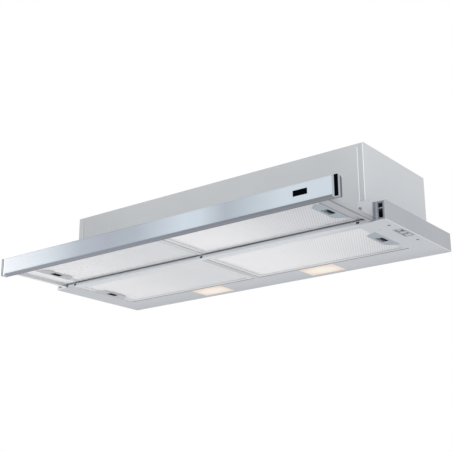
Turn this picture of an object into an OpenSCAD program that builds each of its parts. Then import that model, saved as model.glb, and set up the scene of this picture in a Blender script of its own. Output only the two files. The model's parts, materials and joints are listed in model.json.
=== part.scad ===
// Telescopic range hood that pulls out from under a wall cabinet.
// X runs to the right, Y runs back to the wall and Z up.
// The origin is the middle of the rear wall at the underside, with the drawer pulled out.

/* [Base] */
// Width over all
hood_w = 898; // [800:1:1000]
// Depth of the base, from the wall to its front
base_d = 285; // [280:1:320]
// Height of the base
base_h = 40; // [38:1:60]
// Thickness of the steel sheet
sheet_t = 1; // [0.8:0.1:1.2]
// Inner radius of the bends in the sheet
bend_r = 0.6; // [0.5:0.1:1]
// Width of the underside strip at each side of the filters
side_strip = 57.5; // [55:0.5:62]
// Depth of the underside strip behind the filters
rear_strip = 77.8; // [77.8:0.1:84]

/* [Housing] */
// Distance of the housing's sides from the base's sides
box_side_inset = 50; // [50:1:99]
// Height of the top of the housing above the underside
box_top = 176; // [172:1:200]
// Distance of the housing's front behind the base's front
box_front_inset = 17; // [16:1:24]
// Distance of the housing's back from the wall
box_rear_inset = 4; // [3:0.5:6]
// Height of the lower edge of the housing's front, above the drawer
apron_z = 19; // [18.6:0.1:22]
// Width of the flanges of the side panels that lap the front
lap_w = 13.6; // [10:0.1:20]

/* [Drawer] */
// Travel of the drawer from open to closed
travel = 157.5; // [100:0.5:157.5]
// Thickness of the front panel
panel_t = 16; // [14:0.5:20]
// Height of the front panel
panel_h = 40; // [38:0.5:44]
// Distance of the drawer's rails from the base's sides
rail_side_gap = 27.5; // [27:0.5:30]
// Height of the rails' upper flange
rail_h = 12; // [11.5:0.1:12.4]

/* [Filters] */
// Thickness of each grease filter
filter_t = 7.5; // [6.5:0.1:7.8]
// Height of the rear filters' underside
rear_filter_z = 0.5; // [0.4:0.1:0.8]
// Height of the front filters' underside
front_filter_z = 10.5; // [10.4:0.1:10.8]
// Wall of the filter frames
frame_t = 0.8; // [0.6:0.1:1]
// Width of the filter frames' border
border_w = 10; // [8:0.5:14]
// Width of the front filters' rear border, beside the crossbar
narrow_border_w = 3; // [2:0.5:10]
// Distance between the pleats of the filter mesh
pleat_pitch = 9.7; // [8:0.1:16]

/* [Blower] */
// Diameter of the blower wheel
wheel_d = 110; // [90:1:112]
// Width of the blower wheel
wheel_w = 58; // [40:1:60]
// Number of blades of the wheel
blade_count = 32; // [20:1:40]
// Diameter of the duct that fits over the collar
duct_d = 120; // [110:1:125]
// Height of the collar above the housing
collar_h = 30; // [24:1:40]

/* [Lighting and controls] */
// Length of a lamp cover
lamp_w = 88; // [70:1:100]
// Depth of a lamp cover
lamp_d = 60; // [50:1:60]
// Distance of a lamp's centre from the middle
lamp_x = 157; // [140:1:200]
// Width of the control recess
control_w = 18; // [17:0.5:20]
// Length of the control recess
control_l = 53; // [50:1:57]

/* [Hidden] */
$fn = 48;

// Overrun of every cut
over = 1;
// Gap between fixed pieces that sit beside each other
seat_gap = 0.3;
// Gap between sliding pieces
slide_gap = 0.3;
// Gap between a screw and its hole
screw_gap = 0.2;

// Half widths and the planes of the base and housing
half_w = hood_w / 2;
box_half = half_w - box_side_inset;
base_front = -base_d;
box_front = base_front + box_front_inset;
box_rear = -box_rear_inset;
bay_half = half_w - side_strip;
bay_rear = -rear_strip;
// Width of the ledge that reaches under the housing's walls
ledge_lap = 5;
ledge_rear = 8;
// Height and thickness of the turned-up edge beside the filters
bay_edge_h = 7;

// Guide blocks at the front corners
guide_w = 26;
guide_l = 30;
guide_inner = half_w - sheet_t - guide_w;
rail_half = half_w - rail_side_gap;

// Crossbar, and the slots in its front
crossbar_h = 9.4;
crossbar_lip = 11;
crossbar_reach = 20.5;
foot_t = 1;
bar_slot_w = 7;
bar_slot_inset = 61;
bar_slot_x = half_w - bar_slot_inset;
bar_slot_low = 2.4;
bar_slot_high = 6.6;

// Centre rib between the rear filters
rib_w = 14;
rib_web_t = 1;
rib_h = 9;

// Corner plates beside the drawer's opening
corner_reach = 19;
corner_step_reach = 9;
corner_inner = box_half - corner_reach;
corner_step = box_half - corner_step_reach;
corner_low_z = 14;
corner_top_rise = 13;
corner_top_z = base_h + corner_top_rise;

// Turned-over flanges of the side panels
lap_bottom_gap = 0.5;
lap_bottom_z = corner_top_z + lap_bottom_gap;
lap_top_drop = 6;
lap_corner_r = 5;
lap_edge_inset = 0.4;
foot_flange = 12;

// Screws
screw_r = 1.75;
screw_head_r = 3.3;
screw_head_h = 1.6;
screw_l = 6;
recess_r = 0.9;
plate_screw_inset = 13;
plate_screw_drop = 2.2;
plate_screw_x = box_half - plate_screw_inset;
plate_screw_z = base_h - plate_screw_drop;
under_screw_inset = 14.5;
under_screw_x = half_w - under_screw_inset;
dent_insets = [42, 46];
dent_setbacks = [54, 5.7];
dent_places = [[half_w - dent_insets[0], base_front + dent_setbacks[0]],
    [half_w - dent_insets[1], bay_rear - dent_setbacks[1]]];
dent_r = 1.8;
dent_depth = 0.4;

// Holes in the ledge for the screws up into the cabinet
fix_inset = 39;
fix_front_inset = 40;
fix_rear_inset = 45;
fix_x = half_w - fix_inset;
fix_ys = [base_front + fix_front_inset, -fix_rear_inset];
fix_hole_r = 2.5;

// Pockets in the guide blocks
guide_rim = 1.6;
slot_inset = 12;
slot_x = guide_inner + slot_inset;
slot_w = 9.5;
slot_low_z = 5;
slot_mid_z = 25;
slot_bar = 1.5;
slot_top_z = 35;
slot_depth = 24;
slot_ramp = 9;
dimple_r = 1.1;
dimple_inset = 3.5;
dimple_x = guide_inner + dimple_inset;
dimple_zs = [7, 13, 19, 25];
dimple_depth = 1.5;

// Slide channels
channel_t = 1;
channel_top_gap = 0.5;
channel_w = 11;
channel_foot = 6;
channel_rear = -10;

// Rails of the drawer
rail_t = 1;
rail_z = 1.5;
rail_lip = 7.5;
rail_w = 35.5;
rail_inner = rail_half - rail_w;
rail_stand = 5.5;
rail_wall_gap = 12.5;
rail_rear = -travel - rail_wall_gap;
glide_l = 16;
glide_nose = 4;
glide_proud = 0.25;

// Front panel
close_gap = 0.5;
panel_back_y = base_front - travel - close_gap;
panel_front_y = panel_back_y - panel_t;
skin_t = 1;
skin_d = 10;
panel_chamfer = 4;
cap_w = 11;
strip_w = 6.4;
strip_d = 3;
strip_groove = 0.2;

// Bars and rib of the drawer
bar_setback = 8;
bar_y = base_front + bar_setback;
bar_d = 8;
bar_t = 1;
bar_z = 11;
front_bar_gap = 0.5;
drawer_rib_w = 12;
drawer_rib_z = 10;
drawer_top_z = 17.5;

// Filters
filter_inner = 8.5;
filter_gap = 0.5;
filter_rear_gap = 0.7;
// Gap that lets the front filters swing down past the crossbar
swing_gap = 6;
rear_filter_outer = bay_half - filter_gap;
front_filter_outer = rail_inner - rail_t - filter_gap;
rear_filter_front = base_front + crossbar_lip + filter_gap;
rear_filter_rear = bay_rear - filter_rear_gap;
front_filter_rear = base_front - swing_gap;
// The front filters stop behind the crossbar when the drawer is closed
front_filter_front = rear_filter_front - travel;
front_bar_rear = front_filter_front - front_bar_gap;
tab_reach = 5;
tab_w = 16;
tab_inset = 22;
tab_lift = 0.8;
tab_t = 1;
top_lip = 6;
mesh_t = 1;
mesh_side_gap = 0.3;
mesh_room = 1;

// Filter latches
latch_plate_w = 28;
latch_plate_l = 106.6;
latch_plate_t = 1.2;
latch_taper_front = 15.8;
latch_taper_rear = 11.9;
latch_round = 12;
latch_round_steps = 6;
window_inset = 6.5;
window_w = 15;
window_l = 32;
window_gap = 0.35;
latch_travel = 4;
latch_t = 2;
latch_l = 40;
latch_w = 18;
bolt_w = 18;
bolt_setback = 1;
grip_w = 7;
grip_rim = 1.2;
grip_depth = 1.6;
rear_latch_shift = 6.6;
front_latch_shift = -1;
rear_latch_y = (rear_filter_front + rear_filter_rear) / 2 + rear_latch_shift;
front_latch_y = (front_filter_front + front_filter_rear) / 2 + front_latch_shift;

// Blower
blower_y = (box_front + box_rear) / 2;
blower_z = 97;
scroll_half = 38;
scroll_t = 1.5;
scroll_gap = 5;
scroll_growth = 14;
scroll_start = 100;
scroll_steps = 24;
inlet_r = 44;
inlet_lip_r = 5;
blade_d = 11;
blade_t = 0.8;
blade_arc_share = 0.75;
ring_t = 1.2;
ring_w = 5;
hub_r = 10;
hub_l = 16;
hub_web_t = 2;
shaft_r = 4;
shaft_gap = 0.05;
motor_r = 38;
motor_l = 46;
motor_end_r = 26;
motor_end_l = 8;
motor_fin_count = 18;
motor_fin_w = 3;
motor_fin_h = 2.5;
spider_r = 20;
spider_t = 2;
spider_arm_w = 12;
spider_pad_r = 7.5;
spider_post_r = 4;
spider_post_place = 54.5;
spider_gap = 9;
spider_bore_gap = 1;

// Capacitor, terminal box and cable gland
cap_r = 14;
cap_l = 50;
cap_x = -150;
cap_front_gap = 43;
cap_place = [cap_x, box_front + cap_front_gap];
strap_w = 12;
strap_t = 1;
strap_foot = 8;
terminal_size = [90, 50, 30];
terminal_x = 180;
terminal_rear_gap = 41;
terminal_place = [terminal_x, box_rear - terminal_rear_gap];
terminal_round = 4;
gland_r = 8;
gland_flange_r = 13;
gland_flange_h = 3;
gland_dome_h = 9;
gland_tip_r = 8.5;
gland_depth = 6;
gland_bore_r = 4.5;
gland_gap = 0.3;

// Duct collar and its flaps
collar_wall = 2;
collar_flange = 70;
collar_flange_t = 2;
seat_w = 6;
seat_t = 1.5;
seat_z = 10;
bridge_w = 3;
bridge_h = 4;
flap_t = 1.2;
flap_side_gap = 1.5;
flap_hinge_y = 4.2;
flap_hinge_r = 1.5;
flap_pin_r = 1.1;
flap_pin_reach = 0.8;
flap_pin_gap = 0.08;
flap_rib_share = 0.75;
flap_rib_t = 1;

// Lamps
lamp_gap = 0.3;
lamp_front_gap = 2.3;
lamp_front = bay_rear + lamp_front_gap;
cover_t = 2;
cover_rim_t = 1.2;
cover_rim_h = 3;
cover_rim_inset = 3;
hook_w = 8;
hook_t = 1;
hook_reach = 3;
hook_lift = 0.3;
hook_inset = 12;
lamp_box_h = 34;
lamp_box_side = 5;
lamp_box_foot = 5;
lamp_front_wall_gap = 0.3;
bulb_r = 12;
bulb_l = 46;
bulb_neck_r = 8;
socket_r = 13;
socket_l = 20;
bulb_z = 18;
socket_bore_depth = 6;

// Controls
control_inset = 14;
control_setback = 98;
control_x = half_w - control_inset;
control_y = base_front + control_setback;
under_screw_reach = [58.7, 61.2];
under_screw_ys = [control_y - under_screw_reach[0], control_y + under_screw_reach[1]];
bezel_rim = 1.2;
bezel_flange = 2.4;
bezel_depth = 4;
bezel_floor = 1.2;
knob_slot_w = 5;
knob_w = 15;
knob_l = 8;
knob_h = 2.2;
knob_stem_w = 4;
knob_stem_l = 5;
knob_stem_h = 2.6;
knob_ridges = 3;
knob_ridge_h = 0.4;
knob_ridge_step = 3.3;
light_place = 1;
speed_place = 20;
light_y = control_y + light_place;
speed_y = control_y + speed_place;
light_travel = 9;
speed_travel = 10;
knob_gap = 0.3;
switch_h = 22;
switch_foot_w = 10;
switch_foot_t = 3;

// Colours
steel_paint = [0.78, 0.79, 0.80];
side_paint = [0.82, 0.83, 0.84];
dark_plastic = [0.42, 0.43, 0.47];
black_plastic = [0.05, 0.05, 0.06];
stainless = [0.72, 0.76, 0.81];
mesh_alu = [0.88, 0.88, 0.89];
frame_alu = [0.80, 0.81, 0.82];
blue_grey = [0.65, 0.68, 0.73];
zinc = [0.70, 0.72, 0.74];
white_plastic = [0.92, 0.92, 0.90];
warm_glass = [0.98, 0.90, 0.84];

// Basic shapes

// Box between two corners
module span(x, y, z) {
    translate([x[0], y[0], z[0]]) cube([x[1] - x[0], y[1] - y[0], z[1] - z[0]]);
}

// Rectangle between two corners
module flat(x, y) {
    translate([x[0], y[0]]) square([x[1] - x[0], y[1] - y[0]]);
}

// Profile drawn in Y and Z, run along X
module along_x(x) {
    translate([x[0], 0, 0]) rotate([90, 0, 90]) linear_extrude(x[1] - x[0]) children();
}

// Profile drawn in X and Z, run along Y
module along_y(y) {
    translate([0, y[1], 0]) rotate([90, 0, 0]) linear_extrude(y[1] - y[0]) children();
}

module left() {
    mirror([1, 0, 0]) children();
}

module both_sides() {
    children();
    left() children();
}

function unit(a, b) = (b - a) / norm(b - a);
function turn(a, b, c) = let (u = unit(a, b), v = unit(b, c)) atan2(u.x * v.y - u.y * v.x, u * v);
function setback(points, i, r) = i == 0 || i == len(points) - 1 ? 0
    : r * tan(abs(turn(points[i - 1], points[i], points[i + 1])) / 2);

// Sheet seen on its edge, folded along a path of points
module folded(points, t, inner_r) {
    mid_r = inner_r + t / 2;
    last = len(points) - 1;
    for (i = [0 : last - 1]) {
        a = points[i];
        b = points[i + 1];
        d = unit(a, b);
        run = norm(b - a) - setback(points, i, mid_r) - setback(points, i + 1, mid_r);
        translate(a + d * setback(points, i, mid_r)) rotate(atan2(d.y, d.x))
            translate([0, -t / 2]) square([run, t]);
    }
    for (i = [1 : last - 1]) bend(points[i - 1], points[i], points[i + 1], t, mid_r);
}

// Quarter or part of a ring between two straight runs of sheet
module bend(a, b, c, t, mid_r) {
    angle = turn(a, b, c);
    u = unit(a, b);
    v = unit(b, c);
    back = mid_r * tan(abs(angle) / 2);
    side = sign(angle) * mid_r;
    centre = b - u * back + [-u.y, u.x] * side;
    reach_share = 2;
    start = b - u * back - centre;
    finish = b + v * back - centre;
    translate(centre) intersection() {
        difference() {
            circle(r = mid_r + t / 2);
            circle(r = mid_r - t / 2);
        }
        polygon([[0, 0], start * reach_share, (b - centre) * reach_share, finish * reach_share]);
    }
}

// Screw with a pan head, standing on its head
module pan_screw() {
    translate([0, 0, -screw_head_h]) difference() {
        union() {
            cylinder(r = screw_head_r, h = screw_head_h);
            cylinder(r = screw_r, h = screw_head_h + screw_l);
        }
        translate([0, 0, -over]) cylinder(r = recess_r, h = over + screw_head_h / 2, $fn = 6);
    }
}

// Screw with a countersunk head as deep as the sheet
module flush_screw() {
    difference() {
        union() {
            cylinder(r1 = screw_head_r, r2 = screw_r, h = sheet_t);
            cylinder(r = screw_r, h = sheet_t + screw_l);
        }
        translate([0, 0, -over]) cylinder(r = recess_r, h = over + sheet_t / 2, $fn = 6);
    }
}

// Base

// Outline of the whole base
module base_outline() {
    flat([-half_w, half_w], [base_front, 0]);
}

module lamp_openings() {
    for (s = [-1, 1]) flat([s * lamp_x - lamp_w / 2 - lamp_gap, s * lamp_x + lamp_w / 2 + lamp_gap],
        [lamp_front - lamp_gap, lamp_front + lamp_d + 2 * lamp_gap]);
}

module control_opening() {
    translate([control_x, control_y])
        square([control_w + 2 * bezel_rim + 2 * seat_gap, control_l + 2 * bezel_rim + 2 * seat_gap],
            center = true);
}

module base_tray() {
    color(side_paint) {
        difference() {
            linear_extrude(sheet_t) difference() {
                base_outline();
                flat([-bay_half, bay_half], [base_front - over, bay_rear]);
                lamp_openings();
                control_opening();
            }
            for (y = under_screw_ys) translate([under_screw_x, y, 0])
                cylinder(r1 = screw_head_r + screw_gap, r2 = screw_r + screw_gap, h = sheet_t);
            for (place = dent_places, s = [-1, 1]) translate([s * place.x, place.y, -over])
                cylinder(r = dent_r, h = over + dent_depth);
        }
        both_sides() {
            span([half_w - sheet_t, half_w], [base_front, 0], [sheet_t, base_h]);
            span([bay_half, bay_half + sheet_t], [base_front + crossbar_lip + seat_gap, bay_rear],
                [sheet_t, bay_edge_h]);
        }
        span([-half_w + sheet_t, half_w - sheet_t], [-sheet_t, 0], [sheet_t, base_h]);
        translate([0, 0, base_h - sheet_t]) linear_extrude(sheet_t) difference() {
            flat([-half_w + sheet_t, half_w - sheet_t], [base_front, -sheet_t]);
            flat([-box_half + ledge_lap, box_half - ledge_lap], [base_front - over, -ledge_rear]);
            flat([-guide_inner, guide_inner], [base_front - over, box_front]);
            flat([-box_half, box_half], [base_front - over, box_front + sheet_t]);
            for (y = fix_ys, s = [-1, 1]) translate([s * fix_x, y]) circle(r = fix_hole_r);
        }
    }
}

// Folded bar across the front of the base, under the drawer
module crossbar_profile() {
    y = base_front + sheet_t / 2;
    low = sheet_t / 2;
    high = crossbar_h - sheet_t / 2;
    folded([[y + crossbar_lip - sheet_t / 2, low], [y, low], [y, high],
        [y + crossbar_lip - sheet_t / 2, high]], sheet_t, bend_r);
}

module front_crossbar() {
    reach = bay_half + crossbar_reach;
    color(steel_paint) {
        difference() {
            along_x([-reach, reach]) crossbar_profile();
            both_sides() span([bay_half - seat_gap, reach + over],
                [base_front - over, base_front + crossbar_lip + over], [-over, sheet_t]);
            for (x = [-bar_slot_x, 0, bar_slot_x]) span([x - bar_slot_w / 2, x + bar_slot_w / 2],
                [base_front - over, base_front + sheet_t + bend_r], [bar_slot_low, bar_slot_high]);
        }
        both_sides() span([bay_half + seat_gap, reach], [base_front + sheet_t, base_front + crossbar_lip],
            [sheet_t, sheet_t + foot_t]);
    }
}

// Rib with a foot and a web, which carries the inner ends of two filters
module rib(y, z, w, h) {
    along_y(y) {
        flat([-w / 2, w / 2], [z, z + sheet_t]);
        flat([-rib_web_t / 2, rib_web_t / 2], [z + sheet_t, z + h]);
    }
}

module centre_rib() {
    color(steel_paint) rib([base_front + crossbar_lip, bay_rear], 0, rib_w, rib_h);
}

// Plate that closes the corner between the housing and the guide block
module corner_plate() {
    color(side_paint) along_y([box_front - sheet_t, box_front]) difference() {
        polygon([[corner_inner, apron_z], [corner_step, apron_z], [corner_step, corner_low_z],
            [guide_inner, corner_low_z], [guide_inner, base_h], [box_half, corner_top_z],
            [corner_inner, corner_top_z]]);
        translate([plate_screw_x, plate_screw_z]) circle(r = screw_r + screw_gap);
    }
}

// Moulded block at the front corner, beside the drawer's rail
module rail_guide() {
    outer = half_w - sheet_t;
    front = base_front;
    color(dark_plastic) difference() {
        span([guide_inner, outer], [front, front + guide_l], [sheet_t, base_h - sheet_t]);
        // Long slot with its stop
        span([slot_x, slot_x + slot_w], [front - over, front + slot_depth],
            [slot_low_z, slot_mid_z - slot_bar]);
        // Short slot with a ramp for its floor
        along_x([slot_x, slot_x + slot_w]) polygon([[front - over, slot_mid_z], [front - over, slot_top_z],
            [front + slot_depth / 2, slot_top_z], [front + slot_depth / 2, slot_mid_z + slot_ramp],
            [front, slot_mid_z]]);
        // Relief round the slots
        along_y([front - over, front + slot_bar]) difference() {
            flat([slot_x - guide_rim, slot_x + slot_w + guide_rim],
                [slot_low_z - guide_rim, slot_top_z + guide_rim]);
            flat([slot_x - guide_rim / 2, slot_x + slot_w + guide_rim / 2],
                [slot_low_z - guide_rim / 2, slot_top_z + guide_rim / 2]);
        }
        for (z = dimple_zs) translate([dimple_x, front - over, z]) rotate([-90, 0, 0])
            cylinder(r = dimple_r, h = over + dimple_depth);
    }
}

// Steel channel that the drawer's rail runs in
module slide_channel() {
    web = guide_inner + channel_t / 2;
    top = rail_h + channel_top_gap + channel_t / 2;
    foot = sheet_t + channel_t / 2;
    room = control_l / 2 + bezel_rim + bezel_flange + seat_gap;
    color(zinc) difference() {
        along_y([base_front + guide_l, channel_rear])
            folded([[web + channel_foot, foot], [web, foot], [web, top], [web - channel_w, top]],
                channel_t, bend_r);
        // The foot makes room for the controls
        span([guide_inner + channel_t, web + channel_foot + over], [control_y - room, control_y + room],
            [sheet_t - over, sheet_t + channel_t + bend_r]);
    }
}

// Housing

module housing_shell() {
    y_front = box_front + sheet_t / 2;
    y_rear = box_rear - sheet_t / 2;
    top = box_top - sheet_t / 2;
    color(steel_paint) difference() {
        along_x([-box_half + sheet_t, box_half - sheet_t])
            folded([[y_front, apron_z], [y_front, top], [y_rear, top], [y_rear, base_h]], sheet_t, bend_r);
        translate([0, collar_y, top - over]) cylinder(r = duct_d / 2 - seat_w, h = 2 * over);
        translate([terminal_place.x, terminal_place.y, top - over])
            cylinder(r = gland_r + gland_gap, h = 2 * over);
        for (s = [-1, 1]) translate([s * plate_screw_x, box_front - over, plate_screw_z]) rotate([-90, 0, 0])
            cylinder(r = screw_r + screw_gap, h = 2 * over + sheet_t);
    }
}

module housing_side() {
    outer = box_half - lap_edge_inset;
    lap_top = box_top - lap_top_drop;
    color(side_paint) {
        span([box_half - sheet_t, box_half], [box_front, box_rear], [base_h, box_top]);
        span([box_half - sheet_t, box_half], [box_front - sheet_t, box_front], [lap_bottom_z, lap_top]);
        span([box_half - foot_flange, box_half - sheet_t], [box_front + 2 * sheet_t, box_rear - 2 * sheet_t],
            [base_h, base_h + sheet_t]);
        // Lapped flange with a rounded upper corner
        along_y([box_front - sheet_t, box_front]) {
            flat([outer - lap_w, box_half - sheet_t], [lap_bottom_z, lap_top - lap_corner_r]);
            flat([outer - lap_w + lap_corner_r, box_half - sheet_t], [lap_top - lap_corner_r, lap_top]);
            intersection() {
                translate([outer - lap_w + lap_corner_r, lap_top - lap_corner_r]) circle(r = lap_corner_r);
                flat([outer - lap_w, outer - lap_w + lap_corner_r], [lap_top - lap_corner_r, lap_top]);
            }
        }
    }
}

// Blower

function spiral(a, r, growth) = r + growth * (a - scroll_start) / (360 - scroll_start);
function spiral_points(r, growth) = [for (i = [1 : scroll_steps])
    let (a = scroll_start + (360 - scroll_start) * i / scroll_steps)
    [blower_y + spiral(a, r, growth) * cos(a), blower_z + spiral(a, r, growth) * sin(a)]];

scroll_r = wheel_d / 2 + scroll_gap;
throat_front = blower_y + scroll_r * cos(scroll_start);
throat_rear = blower_y + scroll_r + scroll_growth;
collar_y = (throat_front + throat_rear) / 2;
under_top = box_top - sheet_t;

// Inside outline of the scroll and its throat, in Y and Z
module scroll_room(grow, top) {
    tongue = sqrt(pow(scroll_r + grow, 2) - pow(throat_front - grow - blower_y, 2));
    polygon(concat(
        [[throat_front - grow, blower_z + tongue]],
        spiral_points(scroll_r + grow, scroll_growth),
        [[throat_rear + grow, top], [throat_front - grow, top]]));
}

module scroll_half_shell() {
    plate = scroll_half - scroll_t;
    mouth_r = inlet_r + inlet_lip_r;
    color(zinc) {
        difference() {
            union() {
                along_x([0, plate]) difference() {
                    scroll_room(scroll_t, under_top);
                    scroll_room(0, under_top + over);
                }
                along_x([plate, scroll_half]) scroll_room(scroll_t, under_top);
                // Flange under the top of the housing
                difference() {
                    span([0, duct_d / 2], [collar_y - duct_d / 2, collar_y + duct_d / 2],
                        [under_top - scroll_t, under_top]);
                    span([-over, plate], [throat_front, throat_rear],
                        [under_top - 2 * scroll_t, under_top + over]);
                }
            }
            translate([plate - over, blower_y, blower_z]) rotate([0, 90, 0])
                cylinder(r = mouth_r - scroll_t / 3, h = scroll_t + 2 * over);
        }
        // Rounded mouth of the inlet, turned inwards
        translate([scroll_half - scroll_t / 2 - inlet_lip_r, blower_y, blower_z]) rotate([0, 90, 0])
            rotate_extrude() translate([mouth_r, 0]) difference() {
                intersection() {
                    circle(r = inlet_lip_r + scroll_t / 2);
                    flat([-inlet_lip_r - scroll_t, 0], [0, inlet_lip_r + scroll_t]);
                }
                circle(r = inlet_lip_r - scroll_t / 2);
            }
    }
}

// One forward-curved blade, as an arc of sheet between two radii
module blade() {
    outer = wheel_d / 2;
    arc_r = blade_d * blade_arc_share;
    intersection() {
        translate([outer - blade_d / 2, arc_r * (1 - blade_arc_share)]) difference() {
            circle(r = arc_r);
            circle(r = arc_r - blade_t);
        }
        flat([outer - blade_d, outer], [0, blade_d]);
    }
}

module impeller() {
    color(zinc) translate([0, blower_y, blower_z]) rotate([0, 90, 0]) {
        for (z = [-wheel_w / 2, wheel_w / 2 - ring_t]) translate([0, 0, z]) linear_extrude(ring_t)
            difference() {
                circle(r = wheel_d / 2);
                circle(r = wheel_d / 2 - ring_w);
            }
        translate([0, 0, -wheel_w / 2 + ring_t]) linear_extrude(wheel_w - 2 * ring_t)
            for (i = [0 : blade_count - 1]) rotate(i * 360 / blade_count) blade();
        difference() {
            union() {
                translate([0, 0, -hub_web_t / 2]) cylinder(r = wheel_d / 2 - blade_d / 2, h = hub_web_t);
                translate([0, 0, -hub_l / 2]) cylinder(r = hub_r, h = hub_l);
            }
            translate([0, 0, -hub_l]) cylinder(r = shaft_r, h = 2 * hub_l);
        }
    }
}

motor_near = -scroll_half - spider_gap;
motor_far = motor_near - motor_l;

module motor_shaft() {
    color(stainless) translate([motor_far, blower_y, blower_z]) rotate([0, 90, 0])
        cylinder(r = shaft_r, h = hub_l / 2 + hub_web_t - motor_far);
}

// Motor with cooling fins round its can and a smaller end shell
module motor_body() {
    color(dark_plastic) translate([motor_near, blower_y, blower_z]) rotate([0, -90, 0]) difference() {
        rotate_extrude() polygon([[0, 0], [motor_r - motor_fin_h, 0], [motor_r, motor_fin_h],
            [motor_r, motor_l - motor_fin_h], [motor_r - motor_fin_h, motor_l], [motor_end_r, motor_l],
            [motor_end_r, motor_l + motor_end_l], [0, motor_l + motor_end_l]]);
        for (i = [0 : motor_fin_count - 1]) rotate(i * 360 / motor_fin_count)
            translate([motor_r - motor_fin_h, -motor_fin_w / 2, 2 * motor_fin_h])
                cube([2 * motor_fin_h, motor_fin_w, motor_l - 4 * motor_fin_h]);
        translate([0, 0, -over]) cylinder(r = shaft_r + shaft_gap, h = over + motor_l);
    }
}

// Three-armed bracket between the motor and the scroll
module motor_bracket() {
    color(zinc) translate([-scroll_half, blower_y, blower_z]) rotate([0, -90, 0]) difference() {
        union() {
            translate([0, 0, spider_gap - spider_t]) cylinder(r = spider_r, h = spider_t);
            for (i = [0 : 2]) rotate(i * 120 + 60) {
                translate([spider_r / 2, -spider_arm_w / 2, spider_gap - spider_t])
                    cube([spider_post_place - spider_r / 2, spider_arm_w, spider_t]);
                translate([spider_post_place, 0, spider_gap - spider_t])
                    cylinder(r = spider_pad_r, h = spider_t);
                translate([spider_post_place, 0, 0]) cylinder(r = spider_post_r, h = spider_gap);
            }
        }
        translate([0, 0, -over]) cylinder(r = shaft_r + spider_bore_gap, h = spider_gap + 2 * over);
    }
}

// Capacitor with its strap, under the top of the housing
module capacitor() {
    z = under_top - cap_r - strap_t;
    color(white_plastic) translate([cap_place.x, cap_place.y, z]) {
        rotate([0, 90, 0]) translate([0, 0, -cap_l / 2]) cylinder(r = cap_r, h = cap_l);
        rotate([0, 90, 0]) translate([0, 0, -strap_w / 2]) cylinder(r = cap_r + strap_t, h = strap_w);
        span([-strap_w / 2, strap_w / 2], [-cap_r - strap_foot, cap_r + strap_foot],
            [cap_r, cap_r + strap_t]);
    }
}

module terminal_box() {
    color(white_plastic) difference() {
        translate([terminal_place.x, terminal_place.y, under_top - terminal_size.z])
            linear_extrude(terminal_size.z) rounded_rect(terminal_size.x, terminal_size.y, terminal_round);
        translate([terminal_place.x, terminal_place.y, under_top - gland_depth])
            cylinder(r = gland_r + gland_gap, h = gland_depth + over);
        // Seam of the lid
        translate([terminal_place.x, terminal_place.y, under_top - terminal_size.z / 2])
            linear_extrude(sheet_t) difference() {
                square([terminal_size.x + over, terminal_size.y + over], center = true);
                rounded_rect(terminal_size.x - sheet_t, terminal_size.y - sheet_t, terminal_round);
            }
    }
}

module rounded_rect(w, h, r) {
    square([w - 2 * r, h], center = true);
    square([w, h - 2 * r], center = true);
    for (x = [-1, 1], y = [-1, 1]) translate([x * (w / 2 - r), y * (h / 2 - r)]) circle(r = r);
}

module cable_gland() {
    color(black_plastic) translate([terminal_place.x, terminal_place.y, box_top]) difference() {
        union() {
            translate([0, 0, -sheet_t - gland_depth + gland_gap])
                cylinder(r = gland_r, h = sheet_t + gland_depth);
            cylinder(r = gland_flange_r, h = gland_flange_h, $fn = 6);
            translate([0, 0, gland_flange_h]) cylinder(r1 = gland_flange_r - 2 * sheet_t, r2 = gland_tip_r,
                h = gland_dome_h);
        }
        translate([0, 0, -2 * gland_depth]) cylinder(r = gland_bore_r, h = 4 * gland_depth);
    }
}

// Duct collar

collar_z = box_top;
flap_z = collar_z + seat_z + seat_t + slide_gap;

module duct_collar() {
    inner = duct_d / 2 - collar_wall;
    color(dark_plastic) translate([0, collar_y, collar_z]) difference() {
        union() {
            difference() {
                union() {
                    linear_extrude(collar_flange_t)
                        rounded_rect(2 * collar_flange, 2 * collar_flange, seat_w);
                    cylinder(r = duct_d / 2, h = collar_h);
                }
                translate([0, 0, -over]) cylinder(r = inner, h = collar_h + 2 * over);
            }
            // Ledge that the flaps lie on
            translate([0, 0, seat_z]) difference() {
                cylinder(r = inner + collar_wall / 2, h = seat_t);
                translate([0, 0, -over]) cylinder(r = inner - seat_w, h = seat_t + 2 * over);
            }
            // Bridge across the middle
            span([-inner - collar_wall / 2, inner + collar_wall / 2], [-bridge_w / 2, bridge_w / 2],
                [seat_z, seat_z + bridge_h]);
        }
        for (s = [-1, 1], t = [-1, 1])
            translate([s * (inner - collar_wall), t * flap_hinge_y, flap_z - collar_z + flap_hinge_r])
                rotate([0, s * 90, 0]) cylinder(r = flap_pin_r + flap_pin_gap,
                    h = collar_wall + 2 * flap_pin_reach);
    }
}

// Half disc that swings up about a pin beside the bridge
module damper_flap() {
    inner = duct_d / 2 - collar_wall;
    reach = inner - flap_side_gap;
    barrel = sqrt(pow(reach, 2) - pow(flap_hinge_y + flap_hinge_r, 2)) - flap_side_gap;
    color(black_plastic) translate([0, collar_y, flap_z]) {
        linear_extrude(flap_t) intersection() {
            circle(r = reach);
            flat([-barrel, barrel], [flap_hinge_y, reach + over]);
        }
        translate([-barrel, flap_hinge_y, flap_hinge_r]) rotate([0, 90, 0])
            cylinder(r = flap_hinge_r, h = 2 * barrel);
        for (s = [-1, 1]) translate([s * (barrel - over), flap_hinge_y, flap_hinge_r])
            rotate([0, s * 90, 0]) cylinder(r = flap_pin_r, h = inner + flap_pin_reach - barrel);
        for (s = [-1, 0, 1]) span([s * reach / 2 - flap_rib_t / 2, s * reach / 2 + flap_rib_t / 2],
            [flap_hinge_y + flap_hinge_r / 2, reach * flap_rib_share], [flap_t, flap_t + flap_rib_t]);
    }
}

// Lamps

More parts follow.
